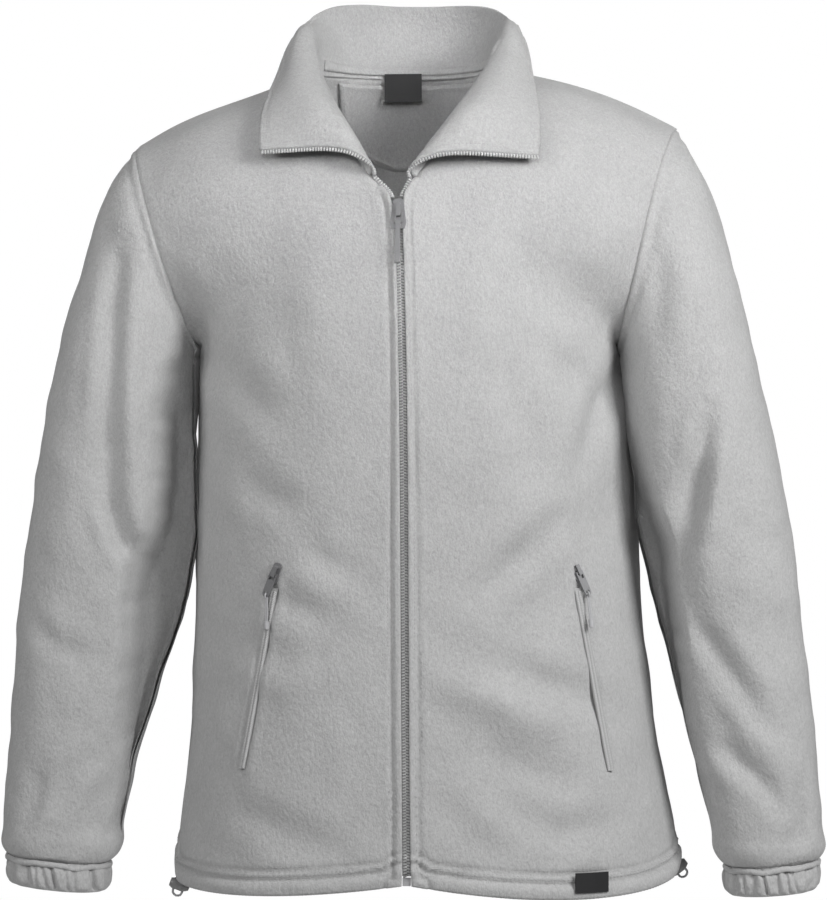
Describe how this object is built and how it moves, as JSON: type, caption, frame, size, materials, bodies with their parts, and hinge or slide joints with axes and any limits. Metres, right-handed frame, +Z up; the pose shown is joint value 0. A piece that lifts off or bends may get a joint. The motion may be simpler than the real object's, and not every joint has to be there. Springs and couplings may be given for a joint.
{
  "type": "fleece zip jacket",
  "caption": "Hip-length fleece jacket in worn form: full front zip open at a turned-down collar, long sleeves with gathered elastic cuffs, and slanted zip pockets.",
  "frame": {"origin": "midway between the two points where the shoulder seams meet the collar, where the wearer's shoulders hold it up", "axes": "+Z up, +X towards the wearer's left, -Y out of the front where the zip is"},
  "size_m": [0.7012, 0.2639, 0.7827],
  "materials": {
    "fleece": "brushed polyester fleece, mid grey",
    "tape": "woven polyester tape, grey",
    "label": "satin-woven label, black, blank",
    "plastic": "moulded zip and cord, grey",
    "metal": "painted die-cast zinc, grey",
    "toggle": "moulded cord lock, dark grey"
  },
  "bodies": {
    "garment": {"front_right": "fleece", "front_left": "fleece", "back": "fleece", "sleeve_right": "fleece", "sleeve_left": "fleece", "collar": "fleece", "cuff_right": "fleece", "cuff_left": "fleece", "back_neck_patch": "fleece", "neck_tape": "tape", "pocket_zip_right": "tape", "pocket_zip_left": "tape", "neck_label": "label", "hem_label": "label", "zip_chain": "plastic", "zip_box": "plastic", "zip_teeth_right": "plastic", "zip_teeth_left": "plastic", "hem_cord_right": "plastic", "hem_cord_left": "plastic", "zip_slider": "metal", "pocket_slider_right": "metal", "pocket_slider_left": "metal", "cord_lock_right": "toggle", "cord_lock_left": "toggle"},
    "main_pull": {"zip_pull_tab": "metal"},
    "right_pull": {"pocket_tab_right": "metal", "pocket_cord_right": "plastic"},
    "left_pull": {"pocket_tab_left": "metal", "pocket_cord_left": "plastic"}
  },
  "joints": [
    {"name": "main_pull_hinge", "type": "hinge", "parent": "garment", "child": "main_pull", "pos_m": [-0.00253, -0.12049, -0.13212], "axis": [-1, 0, 0], "range_deg": [0, 130]},
    {"name": "right_pull_hinge", "type": "hinge", "parent": "garment", "child": "right_pull", "pos_m": [-0.10623, -0.10887, -0.42762], "axis": [-0.8633, 0.3046, 0.4025], "range_deg": [0, 130]},
    {"name": "left_pull_hinge", "type": "hinge", "parent": "garment", "child": "left_pull", "pos_m": [0.14491, -0.08458, -0.42662], "axis": [-0.7304, -0.592, -0.3406], "range_deg": [0, 130]}
  ]
}
